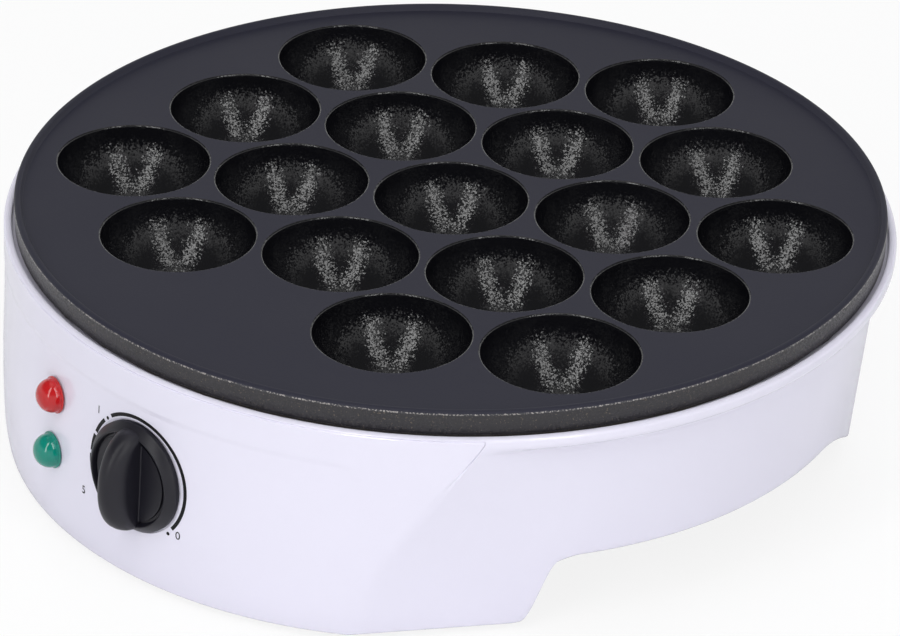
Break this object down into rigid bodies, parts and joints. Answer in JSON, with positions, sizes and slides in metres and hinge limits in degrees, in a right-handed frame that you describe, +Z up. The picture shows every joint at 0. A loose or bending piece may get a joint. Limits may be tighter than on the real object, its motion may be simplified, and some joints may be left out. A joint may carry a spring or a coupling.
{
  "type": "takoyaki maker",
  "caption": "Round electric takoyaki maker: dark cast plate of half-round cups on a glossy pale casing with side arches, temperature dial and two pilot lamps.",
  "frame": {"origin": "middle of the bounding box at the bottom of the rubber feet, where the appliance stands on the table", "axes": "+Z up, -Y out of the middle of the control panel, +X to the right as seen from the front"},
  "size_m": [0.2356, 0.2472, 0.0679],
  "materials": {
    "white_plastic": "glossy moulded",
    "black_coating": "satin non-stick coating on cast aluminium",
    "black_plastic": "satin",
    "red_lens": "clear tinted, polished",
    "green_lens": "clear tinted, polished",
    "bare_steel": "plated, satin",
    "bright_sheet": "bright pressed sheet",
    "element_sheath": "heat-darkened",
    "ceramic": "unglazed ceramic",
    "brass": "plain turned",
    "rubber": "matt",
    "gasket": "matt, woven heat-resistant",
    "grey_plastic": "matt moulded",
    "bulb_glass": "clear",
    "brown_wire": "silicone sleeve",
    "blue_wire": "silicone sleeve",
    "green_wire": "silicone sleeve"
  },
  "bodies": {
    "appliance": {"body_casing": "white_plastic", "cooking_plate": "black_coating", "insulating_ring": "gasket", "heating_element": "element_sheath", "element_bushing_1": "ceramic", "element_bushing_2": "ceramic", "element_pin_1": "brass", "element_pin_2": "brass", "element_clamp_1": "bare_steel", "element_clamp_2": "bare_steel", "element_clamp_3": "bare_steel", "clamp_screw_1": "bare_steel", "clamp_screw_2": "bare_steel", "clamp_screw_3": "bare_steel", "reflector_pan": "bright_sheet", "plate_stud_1": "bare_steel", "plate_stud_2": "bare_steel", "plate_stud_3": "bare_steel", "stud_spacer_1": "bare_steel", "stud_spacer_2": "bare_steel", "stud_spacer_3": "bare_steel", "stud_nut_1": "bare_steel", "stud_nut_2": "bare_steel", "stud_nut_3": "bare_steel", "thermostat_bracket": "bare_steel", "thermostat_body": "ceramic", "thermostat_bush": "brass", "bracket_screw_1": "bare_steel", "bracket_screw_2": "bare_steel", "heat_strip": "bare_steel", "strip_screw": "bare_steel", "red_lamp_lens": "red_lens", "green_lamp_lens": "green_lens", "red_neon_bulb": "bulb_glass", "green_neon_bulb": "bulb_glass", "lamp_retainer_1": "bare_steel", "lamp_retainer_2": "bare_steel", "bottom_cover": "grey_plastic", "cover_screw_1": "bare_steel", "cover_screw_2": "bare_steel", "cover_screw_3": "bare_steel", "cover_screw_4": "bare_steel", "rubber_foot_1": "rubber", "rubber_foot_2": "rubber", "rubber_foot_3": "rubber", "rubber_foot_4": "rubber", "cord_gland": "black_plastic", "terminal_block": "ceramic", "block_screw_1": "brass", "block_screw_2": "brass", "block_screw_3": "brass", "live_lead": "brown_wire", "thermal_fuse": "ceramic", "thermostat_lead": "brown_wire", "element_lead": "brown_wire", "neutral_lead": "blue_wire", "earth_lead": "green_wire"},
    "dial": {"control_knob": "black_plastic", "thermostat_shaft": "bare_steel", "knob_spring_clip": "bare_steel"}
  },
  "joints": [
    {"name": "dial_turn", "type": "hinge", "parent": "appliance", "child": "dial", "pos_m": [0.02067, -0.11144, 0.0322], "axis": [0.1734, -0.9833, 0.0545], "range_deg": [-136, 130]}
  ]
}
